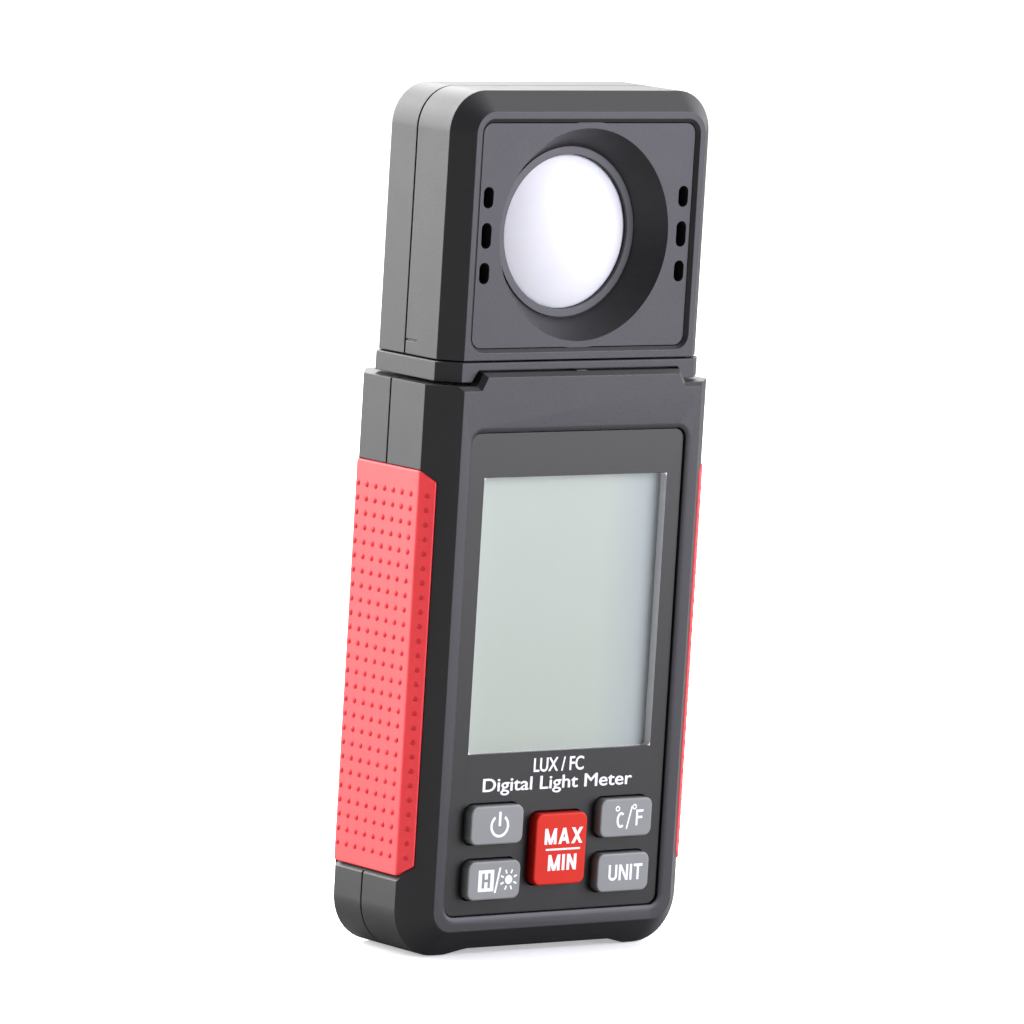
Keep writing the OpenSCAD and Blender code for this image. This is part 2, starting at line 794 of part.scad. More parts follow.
// Outside of the funnel behind the bezel, or with room > 0 the space it needs
module funnel_cone(room) {
  translate([0, bezel_y, sensor_z]) rotate([-90, 0, 0])
    cylinder(h = funnel_depth + 3.2 + room, r1 = funnel_r + 1.2 + room, r2 = funnel_floor_r + 0.8 + room);
}

// Plate with vents and the conical funnel down to the ring's seat
module sensor_bezel() {
  color(BLACK) difference() {
    union() {
      along_y(bezel_y, bezel_y + bezel_t - 0.02) rounded(bezel_x, bezel_low, bezel_high, 1.9);
      funnel_cone(0);
    }
    translate([0, bezel_y - EPS, sensor_z]) rotate([-90, 0, 0])
      cylinder(h = funnel_depth + EPS, r1 = funnel_r, r2 = funnel_floor_r);
    disc(0, sensor_z, dome_r - 1.2, -20, 20);
    disc(0, sensor_z, dome_r + ring_w + 0.1, ring_y - 0.1, ring_y + 2);
    both_sides() for (v = VENTS)
      along_y(-20, 0) translate([vent_x, v[0]]) rounded(1.1, -v[1] / 2, v[1] / 2, 1.05);
  }
}

module dome_ring() {
  color(BLACK) difference() {
    disc(0, sensor_z, dome_r + ring_w, ring_y, ring_y + 1.95);
    disc(0, sensor_z, dome_r, -20, 20);
  }
}

// White cap: a slice of a sphere on a thin rim
module diffuser_dome() {
  sphere_r = (dome_r * dome_r + dome_h * dome_h) / (2 * dome_h);
  color("white") difference() {
    union() {
      intersection() {
        translate([0, ring_y + 0.9 - dome_h + sphere_r, sensor_z]) sphere(r = sphere_r, $fn = 128);
        disc(0, sensor_z, dome_r - 0.05, ring_y - 10, ring_y + 0.9);
      }
      disc(0, sensor_z, dome_r - 0.05, ring_y + 0.88, ring_y + 1.98);
    }
    intersection() {
      translate([0, ring_y + 0.9 - dome_h + sphere_r, sensor_z]) sphere(r = sphere_r - 1.2, $fn = 128);
      disc(0, sensor_z, dome_r - 2, ring_y - 10, ring_y + 1.2);
    }
    disc(0, sensor_z, dome_r - 2.1, ring_y + 1.15, ring_y + 5);
  }
}

module colour_filter() {
  color([0.4, 0.7, 0.5, 0.6]) disc(0, sensor_z, 4.5, -2.9, -1.9);
}

module photodiode() {
  color([0.2, 0.2, 0.25]) block(-5, 5, -1.88, 0.28, sensor_z - 4.5, sensor_z + 4.5);
}

module sensor_board() {
  color(GREEN) block(-22, 22, 0.3, 1.9, sensor_z - 14, sensor_z + 14);
}

module thermistor() {
  color([0.3, 0.2, 0.15]) {
    translate([20.5, -2, sensor_z]) sphere(r = 1.1);
    disc(20.5, sensor_z, 0.4, -2, 0.28);
  }
}

// ---------- assembly ----------

front_shell();
rear_shell();
left_grip();
right_grip();
neck_collar();
front_panel();
display_lens();
lcd_bezel();
lcd_glass();
backlight_plate();
lcd_connector();
main_board();
board_chips();
buzzer();
key_mat();
for (i = [0:4]) {
  key(i);
  plunger(i);
}
key_switches();
board_screws();
case_screws();
battery_door();
door_screw();
battery(0);  // battery_left
battery(1);  // battery_middle
battery(2);  // battery_right
battery_springs();
battery_contacts();
tripod_bush();
head_front_shell();
head_rear_shell();
sensor_bezel();
dome_ring();
diffuser_dome();
colour_filter();
photodiode();
sensor_board();
thermistor();
head_screws();
swivel_shaft();
swivel_washer();
swivel_clip();
sensor_lead_upper();
sensor_lead_lower();
lead_socket();
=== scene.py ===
"""Looks for the handheld light meter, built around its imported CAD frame."""

import json
import math

import bmesh
import bpy
from mathutils import Matrix, Vector


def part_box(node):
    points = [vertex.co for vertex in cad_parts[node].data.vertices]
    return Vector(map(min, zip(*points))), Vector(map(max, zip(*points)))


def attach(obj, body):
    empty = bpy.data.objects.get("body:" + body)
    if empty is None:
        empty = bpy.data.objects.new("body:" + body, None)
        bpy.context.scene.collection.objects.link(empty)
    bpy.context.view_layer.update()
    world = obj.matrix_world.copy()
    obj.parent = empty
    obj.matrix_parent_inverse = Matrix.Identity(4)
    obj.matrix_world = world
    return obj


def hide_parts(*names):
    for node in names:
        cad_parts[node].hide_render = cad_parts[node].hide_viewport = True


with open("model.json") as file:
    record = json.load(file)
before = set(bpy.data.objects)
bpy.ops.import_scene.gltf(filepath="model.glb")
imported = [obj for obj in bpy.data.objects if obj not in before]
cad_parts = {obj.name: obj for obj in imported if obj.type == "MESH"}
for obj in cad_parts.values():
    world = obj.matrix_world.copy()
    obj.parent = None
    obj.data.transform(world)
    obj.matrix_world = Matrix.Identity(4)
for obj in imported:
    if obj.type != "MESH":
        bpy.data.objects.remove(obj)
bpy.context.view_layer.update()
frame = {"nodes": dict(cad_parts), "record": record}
NODES = frame["nodes"]
MM = 0.001
KEY_FACE_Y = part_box("key_power")[0].y
PANEL_FACE_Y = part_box("front_panel")[0].y


def mm(*values):
    return Vector(values) * MM


# ---------- camera ----------

CAM_AT = mm(-1026.4, -1305.2, 278.0)
CAM_RIGHT = Vector((0.79015, -0.61002, 0.05954)).normalized()
CAM_UP = Vector((0.02641, 0.13094, 0.99104)).normalized()
CAM_BACK = CAM_RIGHT.cross(CAM_UP).normalized()
CAM_SENSOR, CAM_LENS = 36.0, 326.5    # millimetres
CAM_CLIP = (0.05, 20.0)               # metres


def make_camera():
    data = bpy.data.cameras.new("camera")
    data.sensor_width, data.lens = CAM_SENSOR, CAM_LENS
    data.clip_start, data.clip_end = CAM_CLIP
    cam = bpy.data.objects.new("camera", data)
    bpy.context.scene.collection.objects.link(cam)
    up = CAM_BACK.cross(CAM_RIGHT)
    basis = Matrix((CAM_RIGHT, up, CAM_BACK)).transposed()
    cam.matrix_world = Matrix.Translation(CAM_AT) @ basis.to_4x4()
    bpy.context.scene.camera = cam


make_camera()

# ---------- materials ----------

WINDOW_HALF = 20.7 * MM      # display opening, from the middle in X
WINDOW_LOW, WINDOW_HIGH = 36.8 * MM, 86.6 * MM
WINDOW_WALL = 0.03 * MM      # how far the painted light on the wall runs into its rounded edge
WINDOW_CORNER = 0.05 * MM    # where that painted light stops short of the opening's ends
MIX_A, MIX_B, MIX_RESULT = 6, 7, 2    # the sockets of a Mix node set to colours


class Shader:
    """A Principled material, and short ways to add the nodes that feed it."""

    def __init__(self, name):
        self.mat = bpy.data.materials.new(name)
        self.mat.use_nodes = True
        self.tree = self.mat.node_tree
        self.bsdf = self.tree.nodes["Principled BSDF"]
        self.surface = self.tree.nodes["Material Output"].inputs["Surface"]
        self.coords = self.add("ShaderNodeTexCoord").outputs["Object"]
        self.normal = None

    def add(self, kind, **settings):
        node = self.tree.nodes.new(kind)
        for key, value in settings.items():
            setattr(node, key, value)
        return node

    def link(self, output, socket):
        self.tree.links.new(output, socket)

    def set(self, **values):
        """Sets the shader's own sockets, whose names are given with _ for a space."""
        for key, value in values.items():
            self.bsdf.inputs[key.replace("_", " ")].default_value = value

    def feed(self, **outputs):
        """Links outputs to the shader's own sockets, named in the same way."""
        for key, output in outputs.items():
            self.link(output, self.bsdf.inputs[key.replace("_", " ")])

    def axis(self, name):
        """The place along X, Y or Z in object space, in metres."""
        place = self.add("ShaderNodeSeparateXYZ")
        self.link(self.coords, place.inputs["Vector"])
        return place.outputs[name]

    def noise(self, scale, detail=4.0, rough=0.6, stretch=None):
        """Noise in object space. scale is in cycles per metre."""
        node = self.add("ShaderNodeTexNoise")
        for key, value in (("Scale", scale), ("Detail", detail), ("Roughness", rough)):
            node.inputs[key].default_value = value
        source = self.coords
        if stretch:
            mapping = self.add("ShaderNodeMapping")
            mapping.inputs["Scale"].default_value = stretch
            self.link(source, mapping.inputs["Vector"])
            source = mapping.outputs["Vector"]
        self.link(source, node.inputs["Vector"])
        return node.outputs["Fac"]

    def spread(self, source, low, high, start=0.3, stop=0.7):
        """Maps start to stop, by default a texture's middle range, onto low to high."""
        node = self.add("ShaderNodeMapRange")
        limits = {"From Min": start, "From Max": stop, "To Min": low, "To Max": high}
        for key, value in limits.items():
            node.inputs[key].default_value = value
        self.link(source, node.inputs["Value"])
        return node.outputs["Result"]

    def mix(self, factor, a, b):
        """Mixes two colours, either of which may be a socket."""
        node = self.add("ShaderNodeMix", data_type="RGBA")
        self.link(factor, node.inputs["Factor"])
        for key, value in ((MIX_A, a), (MIX_B, b)):
            if isinstance(value, bpy.types.NodeSocket):
                self.link(value, node.inputs[key])
            else:
                node.inputs[key].default_value = (*value, 1.0)
        return node.outputs[MIX_RESULT]

    def math(self, operation, *values):
        """A Math node on sockets and numbers."""
        node = self.add("ShaderNodeMath", operation=operation)
        for socket, value in zip(node.inputs, values):
            if isinstance(value, bpy.types.NodeSocket):
                self.link(value, socket)
            else:
                socket.default_value = value
        return node.outputs["Value"]

    def inside_window(self):
        """1 within the display opening and on its two side walls, where painted light goes, 0 on
        the panel's face.
        """
        middle, tall = (WINDOW_LOW + WINDOW_HIGH) / 2, (WINDOW_HIGH - WINDOW_LOW) / 2
        across = self.math("SUBTRACT", self.math("ABSOLUTE", self.axis("X")), WINDOW_HALF)
        rise = self.math("SUBTRACT", self.axis("Z"), middle)
        along = self.math("SUBTRACT", self.math("ABSOLUTE", rise), tall)
        inside = self.math("LESS_THAN", across, WINDOW_WALL)
        return self.math("MULTIPLY", inside, self.math("LESS_THAN", along, -WINDOW_CORNER))

    def bump(self, source, distance):
        """Adds relief over what the surface's normal holds so far. distance is in metres."""
        node = self.add("ShaderNodeBump")
        node.inputs["Distance"].default_value = distance
        self.link(source, node.inputs["Height"])
        if self.normal is not None:
            self.link(self.normal, node.inputs["Normal"])
        self.normal = node.outputs["Normal"]
        self.feed(Normal=self.normal)


PATCHES = 60.0              # a moulding's clouds, in cycles per metre
GLOSS_SPREAD = 0.012        # how far its roughness strays either way
EDGE_RADIUS = 0.22 * MM     # its soft edge, finer than the mesh shows
EDGE_TURN = (0.985, 0.9)    # rounded normal against flat one, where the painted edge highlight starts and is full
EDGE_HIGHLIGHT_SHARE = 0.6             # share of the painted highlight's colour where it is full
FOOT_SHADE_START = 0.4 * MM       # how far behind a key's face its painted shade starts to show
FOOT_SHADE_SHARE = 0.9            # share of the painted shade's colour at the panel


def moulded(name, dark, light, rough, grain=1800.0, depth=0.00002, edge_highlight=None, foot=None,
            painted_opening_light=None, **sockets):
    """Moulded plastic or rubber: cloudy colour, spark-eroded grain and uneven gloss.

    grain is in cycles per metre and depth in metres. The edge colour is a painted highlight along
    its rounded edges, the foot colour painted shade on a key's walls down beside the panel, and the
    window colour painted light on the display opening's walls. The rest are values for the shader's
    own sockets."""
    s = Shader(name)
    colour = s.mix(s.spread(s.noise(PATCHES, 3.0), 0.0, 1.0), dark, light)
    # edges get a paler colour where the rounded normal turns: a painted highlight
    if edge_highlight:
        rounded = s.add("ShaderNodeBevel", samples=6)
        rounded.inputs["Radius"].default_value = EDGE_RADIUS
        s.normal = rounded.outputs["Normal"]
        turn = s.add("ShaderNodeVectorMath", operation="DOT_PRODUCT")
        s.link(s.normal, turn.inputs[0])
        s.link(s.add("ShaderNodeNewGeometry").outputs["Normal"], turn.inputs[1])
        highlight_mask = s.spread(turn.outputs["Value"], 0.0, EDGE_HIGHLIGHT_SHARE, *EDGE_TURN)
        colour = s.mix(highlight_mask, colour, edge_highlight)
    # a key's walls darken towards the panel: painted shade where the key meets it
    if foot:
        shade = s.spread(s.axis("Y"), 0.0, FOOT_SHADE_SHARE, KEY_FACE_Y + FOOT_SHADE_START, PANEL_FACE_Y)
        colour = s.mix(shade, colour, foot)
    # the display opening's walls get a pale colour: painted light on walls that lie in shade
    if painted_opening_light:
        colour = s.mix(s.inside_window(), colour, painted_opening_light)
    gloss = s.spread(s.noise(PATCHES * 3), rough - GLOSS_SPREAD, rough + GLOSS_SPREAD)
    s.feed(Base_Color=colour, Roughness=gloss)
    s.bump(s.noise(grain, 3.0, 0.55), depth)
    s.set(**sockets)
    return s.mat


def metal(name, dark, light, rough, stretch=None):
    """Bare metal with fine marks, which stretch can draw out into streaks."""
    s = Shader(name)
    marks = s.noise(900.0, 5.0, stretch=stretch)
    s.feed(Base_Color=s.mix(s.spread(marks, 0.0, 1.0), dark, light),
           Roughness=s.spread(s.noise(300.0), rough - 0.08, rough + 0.1))
    s.bump(marks, 0.00001)
    s.set(Metallic=1.0)
    return s.mat


def circuit_board(name):
    """Green lacquer over copper tracks on a square grid."""
    s = Shader(name)
    brick = s.add("ShaderNodeTexBrick")
    brick.inputs["Scale"].default_value = 220.0
    brick.inputs["Mortar Size"].default_value = 0.06
    brick.inputs["Color1"].default_value = (0.010, 0.075, 0.030, 1.0)
    brick.inputs["Color2"].default_value = (0.013, 0.090, 0.036, 1.0)
    brick.inputs["Mortar"].default_value = (0.030, 0.170, 0.070, 1.0)
    # the pattern lies in X and Y, and the board stands in X and Z
    turn = s.add("ShaderNodeMapping")
    turn.inputs["Rotation"].default_value = (math.pi / 2, 0.0, 0.0)
    s.link(s.coords, turn.inputs["Vector"])
    s.link(turn.outputs["Vector"], brick.inputs["Vector"])
    s.feed(Base_Color=brick.outputs["Color"], Roughness=s.spread(s.noise(200.0), 0.25, 0.4))
    s.bump(brick.outputs["Fac"], 0.00002)
    return s.mat


def battery_wrap(name):
    """Printed foil wrap: a blue barrel with pale bands."""
    s = Shader(name)
    wave = s.add("ShaderNodeTexWave", bands_direction="Z")
    wave.inputs["Scale"].default_value = 11.0
    s.link(s.coords, wave.inputs["Vector"])
    band = s.spread(wave.outputs["Fac"], 0.0, 1.0, 0.90, 0.92)
    s.feed(Base_Color=s.mix(band, (0.02, 0.06, 0.16), (0.55, 0.57, 0.6)),
           Roughness=s.spread(s.noise(400.0), 0.22, 0.36))
    s.bump(s.noise(600.0), 0.00001)
    s.set(Metallic=0.4)
    return s.mat


def clear_window(name):
    """Thin clear window: see-through, with gloss that grows towards the edge of view."""
    s = Shader(name)
    clear = s.add("ShaderNodeBsdfTransparent")
    clear.inputs["Color"].default_value = (0.985, 0.99, 0.99, 1.0)
    gloss = s.add("ShaderNodeBsdfGlossy")
    s.link(s.spread(s.noise(150.0), 0.05, 0.09), gloss.inputs["Roughness"])
    # Schlick's curve, because a Fresnel node turns the back of an unbent ray's window black
    facing = s.add("ShaderNodeLayerWeight").outputs["Facing"]
    slant = s.math("POWER", facing, 5.0)
    mixed = s.add("ShaderNodeMixShader")
    s.link(s.spread(slant, 0.02, 0.7, 0.0, 1.0), mixed.inputs["Fac"])
    s.link(clear.outputs["BSDF"], mixed.inputs[1])
    s.link(gloss.outputs["BSDF"], mixed.inputs[2])
    s.link(mixed.outputs["Shader"], s.surface)
    return s.mat


# the display's own grey-green, with painted shade towards its foot and a painted shadow at its
# right
LCD_HIGH = (0.43, 0.48, 0.408)
LCD_LOW_SHADED = (0.397, 0.441, 0.365)
LCD_RIGHT_SHADOW = (0.29, 0.33, 0.343)
LCD_SHADE_RISE = (0.037, 0.087)       # metres up, from the low colour, darkened as painted shade, to the high one
LCD_SHADOW_ACROSS = (0.009, 0.0215)    # metres across, where the painted shadow of the opening's right wall comes in
LCD_SHADOW_SHARE = 0.85


def lcd_face(name):
    """Unlit display: pale grey-green reflector, darker towards its foot with painted shade and
    towards its right with a painted shadow of the opening's wall.
    """
    s = Shader(name)
    colour = s.mix(s.spread(s.axis("Z"), 0.0, 1.0, *LCD_SHADE_RISE), LCD_LOW_SHADED, LCD_HIGH)
    across = s.spread(s.axis("X"), 0.0, LCD_SHADOW_SHARE, *LCD_SHADOW_ACROSS)
    s.feed(Base_Color=s.mix(across, colour, LCD_RIGHT_SHADOW),
           Roughness=s.spread(s.noise(500.0), 0.42, 0.5))
    s.bump(s.noise(6000.0, 2.0), 0.000004)
    return s.mat


CHARCOAL = (0.0095, 0.0095, 0.0105)
CHARCOAL_LIGHT = (0.0115, 0.0115, 0.0125)
# paler grey for the plastic's edges, a painted highlight
EDGE_HIGHLIGHT_GREY = (0.05, 0.05, 0.053)

MATERIALS = {
    "body_plastic": moulded("body_plastic", CHARCOAL, CHARCOAL_LIGHT, 0.46, edge_highlight=EDGE_HIGHLIGHT_GREY),
    # its pale window colour is painted light on the display opening's walls
    "panel_plastic": moulded(
        "panel_plastic", (0.009, 0.009, 0.0095), (0.011, 0.011, 0.0115), 0.34,
        grain=2600.0, depth=0.000008, painted_opening_light=(0.78, 0.76, 0.79),
        Specular_IOR_Level=0.41, Specular_Tint=(1.0, 1.01, 0.92, 1.0)),
    "bezel_plastic": moulded(
        "bezel_plastic", (0.0135, 0.0135, 0.0148), (0.017, 0.017, 0.019), 0.47),
    "ring_plastic": moulded(
        "ring_plastic", (0.024, 0.024, 0.0255), (0.029, 0.029, 0.031), 0.4, depth=0.00001),
    # its paler edge colour is a painted highlight
    "grip_rubber": moulded(
        "grip_rubber", (0.90, 0.044, 0.052), (0.96, 0.054, 0.062), 0.5,
        grain=2200.0, edge_highlight=(0.95, 0.13, 0.14)),
    # a darker copy of the grip's rubber, painted shade on the studs
    "grip_stud_shaded": moulded(
        "grip_stud_shaded", (0.60, 0.017, 0.026), (0.66, 0.021, 0.031), 0.55,
        Specular_IOR_Level=0.3),
    # on both keys the paler edge colour is a painted highlight, and the foot colour painted shade
    # beside the panel
    "key_grey": moulded(
        "key_grey", (0.205, 0.218, 0.21), (0.225, 0.238, 0.23), 0.48, depth=0.00001,
        edge_highlight=(0.3, 0.3, 0.31), foot=(0.018, 0.018, 0.019)),
    "key_red": moulded(
        "key_red", (0.58, 0.014, 0.010), (0.62, 0.017, 0.012), 0.45, depth=0.00001,
        edge_highlight=(0.8, 0.05, 0.045), foot=(0.13, 0.002, 0.002),
        Specular_IOR_Level=0.22, Specular_Tint=(1.0, 0.95, 0.6, 1.0)),
    # grey lifted above the frame's own, painted light on the display opening's wall
    "lcd_frame": moulded("lcd_frame", (0.76, 0.74, 0.77), (0.80, 0.78, 0.81), 0.5),
    "diffuser_white": moulded(
        "diffuser_white", (0.76, 0.765, 0.78), (0.79, 0.795, 0.81), 0.42,
        grain=900.0, depth=0.000006, Subsurface_Weight=0.25, Subsurface_Scale=0.002),
    "silicone": moulded("silicone", (0.16, 0.16, 0.165), (0.2, 0.2, 0.205), 0.55),
    "component_black": moulded(
        "component_black", (0.01, 0.01, 0.01), (0.018, 0.018, 0.018), 0.42),
    "lead_sheath": moulded("lead_sheath", (0.012, 0.012, 0.014), (0.02, 0.02, 0.022), 0.5),
    "socket_ivory": moulded("socket_ivory", (0.66, 0.62, 0.5), (0.7, 0.66, 0.55), 0.45),
    "legend_white": moulded(
        "legend_white", (0.84, 0.84, 0.85), (0.9, 0.9, 0.9), 0.5,
        grain=3000.0, depth=0.000003),
    "filter_glass": moulded(
        "filter_glass", (0.12, 0.4, 0.2), (0.15, 0.45, 0.24), 0.08,
        depth=0.000001, Transmission_Weight=0.8),
    "circuit_board": circuit_board("circuit_board"),
    "battery_case": battery_wrap("battery_case"),
    "steel": metal("steel", (0.42, 0.42, 0.43), (0.58, 0.58, 0.6), 0.3),
    "brass": metal("brass", (0.56, 0.38, 0.14), (0.7, 0.5, 0.2), 0.28, stretch=(1.0, 6.0, 1.0)),
    "clear_window": clear_window("clear_window"),
    "lcd": lcd_face("lcd"),
}

# ---------- CAD nodes: materials and rounded edges ----------

# Width of an edge's rounding in millimetres, and how many steps it has
CRISP = (0.0, 0)      # the shells' plastic rounds these edges by EDGE_RADIUS instead
TRIM = (0.12, 2)
KEY = (0.9, 4)
PLAIN = (0.08, 1)     # every node that isn't listed
ROUNDING = {
    "front_shell": CRISP, "rear_shell": CRISP, "neck_collar": CRISP, "battery_door": CRISP,
    "head_front_shell": CRISP, "head_rear_shell": CRISP, "display_lens": CRISP,
    "sensor_bezel": TRIM, "dome_ring": TRIM, "front_panel": TRIM, "case_screws": TRIM,
    "head_screws": TRIM, "door_screw": TRIM,
    "key_power": KEY, "key_hold": KEY, "key_maxmin": KEY, "key_temp": KEY, "key_unit": KEY,
    "tripod_bush": (0.25, 2), "diffuser_dome": (0.2, 2), "lcd_bezel": (0.1, 1),
}
WELD = 0.03 * MM      # joins the hair-thin strips that CAD hulls leave along an edge
FLAT_ANGLE = 0.6      # degrees; faces that meet more flatly than this become one
SHARP_ANGLE = 32.0    # degrees; edges that turn more than this are rounded or kept crisp


def clear_custom_normals(obj):
    mesh = obj.data
    for name in ("custom_normal", "sharp_face", "sharp_edge"):
        if name in mesh.attributes:
            mesh.attributes.remove(mesh.attributes[name])
    mesh.shade_smooth()


def round_edges(obj, width, steps, angle=SHARP_ANGLE):
    """Welds, flattens and bevels an object with modifiers, which leave its mesh as it is.

    With no width, the edges are split and stay crisp."""
    weld = obj.modifiers.new("weld", "WELD")
    weld.merge_threshold = WELD
    flat = obj.modifiers.new("flatten", "DECIMATE")
    flat.decimate_type = "DISSOLVE"
    flat.angle_limit = math.radians(FLAT_ANGLE)
    if width:
        bevel = obj.modifiers.new("round", "BEVEL")
        bevel.width = width * MM
        bevel.segments = steps
        bevel.limit_method = "ANGLE"
        bevel.angle_limit = math.radians(angle)
    else:
        split = obj.modifiers.new("crisp", "EDGE_SPLIT")
        split.split_angle = math.radians(angle)
    even = obj.modifiers.new("even", "WEIGHTED_NORMAL")
    even.keep_sharp = True
    even.weight = 100


SLOT_OF = {row["node"]: row["material_slot"] for row in frame["record"]["subparts"]}
for name, obj in NODES.items():
    obj.data.materials.clear()
    obj.data.materials.append(MATERIALS[SLOT_OF[name]])
    clear_custom_normals(obj)
    if name != "battery_springs":
        round_edges(obj, *ROUNDING.get(name, PLAIN))

# ---------- studded grips, in millimetres ----------

HALF_W, SIDE_Y = 32.0, 9.1          # the casing's side wall: its X, and half its width in Y
GRIP_LOW, GRIP_HIGH = 14.9, 87.6
GRIP_WRAP = 2.15                    # how far the slab runs over a chamfer, in X and in Y
GRIP_SLANT = 1.9                    # how much shorter its ends are there
GRIP_PROUD, GRIP_DEEP = 0.3, 1.1    # its two faces, out from the casing's and in from it
DIAGONAL = 0.7                      # share in X and in Y of a step square to a chamfer
MITRE = math.tan(math.radians(22.5))    # share of a step that shifts the wall's corner
PAD_ROUNDING = (0.3, 3, 20.0)       # width, steps and sharp angle
STUD_SIDES = 8
STUD_COLUMNS, STUD_ROWS = 7, 26
STUD_PITCH = 2.6
STUD_FIRST_Y, STUD_TOP_Z = 8.5, 83.3
STUD_BASE, STUD_RISE = 1.3, 0.22
STUD_SINK, STUD_FLARE = 0.1, 0.08   # depth of its foot in the grip, and extra radius there
STUD_SHOULDER, STUD_TIP = 0.36, 0.14    # radius halfway up and on top, as shares of the base
CHAMFER_BASE, CHAMFER_RISE = 0.9, 0.7   # a chamfer's studs, as shares of the side's
UP = Vector((0, 0, 1))


def mesh_object(name, bm, slot, body):
    mesh = bpy.data.meshes.new(name)
    bmesh.ops.recalc_face_normals(bm, faces=bm.faces)
    bm.to_mesh(mesh)
    bm.free()
    obj = bpy.data.objects.new(name, mesh)
    bpy.context.scene.collection.objects.link(obj)
    mesh.materials.append(MATERIALS[slot])
    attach(obj, body)
    return obj


def grip_prism(bm, sign):
    """Slab that wraps the side wall and part of both chamfers, its ends slanted there."""
    x, y, w, p, d = HALF_W, SIDE_Y, GRIP_WRAP, GRIP_PROUD, GRIP_DEEP
    outer = [(x - w + p * DIAGONAL, -y - w - p * DIAGONAL), (x + p, -y - p * MITRE)]
    inner = [(x - w - d * DIAGONAL, -y - w + d * DIAGONAL), (x - d, -y + d * MITRE)]
    drops = [GRIP_SLANT, 0.0, 0.0, GRIP_SLANT]
    rings = []
    for half in (outer, inner):
        points = half + [(px, -py) for px, py in reversed(half)]
        low = [bm.verts.new(mm(sign * px, py, GRIP_LOW + drop))
               for (px, py), drop in zip(points, drops)]
        high = [bm.verts.new(mm(sign * px, py, GRIP_HIGH - drop))
                for (px, py), drop in zip(points, drops)]
        rings.append((low, high))
    (out_low, out_high), (in_low, in_high) = rings
    for i in range(3):
        j = i + 1
        bm.faces.new((out_low[i], out_low[j], out_high[j], out_high[i]))
        bm.faces.new((in_low[i], in_low[j], in_high[j], in_high[i]))
        bm.faces.new((out_low[i], out_low[j], in_low[j], in_low[i]))
        bm.faces.new((out_high[i], out_high[j], in_high[j], in_high[i]))
    for i in (0, 3):
        bm.faces.new((out_low[i], out_high[i], in_high[i], in_low[i]))


def stud(bm, at, out, along, base, rise):
    """One low round stud with a blunt top, its foot sunk a little into the grip."""
    turns = [math.tau * i / STUD_SIDES for i in range(STUD_SIDES)]
    levels = ((-STUD_SINK, base / 2 + STUD_FLARE), (rise * 0.5, base * STUD_SHOULDER),
              (rise, base * STUD_TIP))
    rings = []
    for lift, radius in levels:
        rings.append([
            bm.verts.new(at + (out * lift + (along * math.cos(t) + UP * math.sin(t)) * radius) * MM)
            for t in turns])
    for low, high in zip(rings, rings[1:]):
        for i in range(STUD_SIDES):
            j = (i + 1) % STUD_SIDES
            bm.faces.new((low[i], low[j], high[j], high[i]))
    bm.faces.new(rings[-1])
    bm.faces.new(rings[0])


def make_grip(node, sign):
    """The slab and the studs of one grip. sign is -1 on the left and 1 on the right."""
    bm = bmesh.new()
    grip_prism(bm, sign)
    slab = mesh_object(node + "_pad", bm, "grip_rubber", "housing")
    slab.data.shade_smooth()
    round_edges(slab, *PAD_ROUNDING)
    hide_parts(node)

    bm = bmesh.new()
    mid = GRIP_WRAP / 2
    lift = GRIP_PROUD * DIAGONAL
    for row in range(STUD_ROWS):
        z = STUD_TOP_Z - row * STUD_PITCH
        for column in range(STUD_COLUMNS):
            at = mm(sign * (HALF_W + GRIP_PROUD), STUD_FIRST_Y - column * STUD_PITCH, z)
            stud(bm, at, Vector((sign, 0, 0)), Vector((0, 1, 0)), STUD_BASE, STUD_RISE)
        for side in (-1, 1):
            normal = Vector((sign, side, 0)).normalized()
            at = mm(sign * (HALF_W - mid + lift), side * (SIDE_Y + mid + lift), z)
            stud(bm, at, normal, normal.cross(UP),
                 STUD_BASE * CHAMFER_BASE, STUD_RISE * CHAMFER_RISE)
    studs = mesh_object(node + "_studs", bm, "grip_stud_shaded", "housing")


make_grip("left_grip", -1)
make_grip("right_grip", 1)

# ---------- printed legends, drawn in X and Z in millimetres ----------

INK = 0.02 * MM         # how far the ink stands out; it goes in twice as far
STROKE_LIFT = 0.006     # keeps strokes that cross out of one plane
ARC_STEPS, SMALL_ARC_STEPS, LETTER_ARC_STEPS = 28, 16, 24
BOLD_SHIFTS = ((-0.07, 0.0), (0.07, 0.0), (0.0, 0.04), (0.0, -0.04))
ICON_SHIFT = 0.5        # how far right of a key's middle its legend is
CAPITAL = 2.9           # height of the keys' capitals
LETTER_GAP = 0.75       # between two letters, as a share of the pen's width
BOWL = 0.3              # share of its height that a U's bowl takes
C_MOUTH = (50, 310)     # where a C starts and stops, in degrees from +X
LEVEL = 1e-6            # a stroke that rises less than this is level


def solid_ink(bm, y):
    """Gives flat artwork a thin printed body just proud of the surface at y."""
    found = bmesh.ops.extrude_face_region(bm, geom=list(bm.faces))
    moved = [g for g in found["geom"] if isinstance(g, bmesh.types.BMVert)]
    bmesh.ops.translate(bm, vec=(0, 3 * INK, 0), verts=moved)
    bmesh.ops.translate(bm, vec=(0, y - INK, 0), verts=bm.verts)


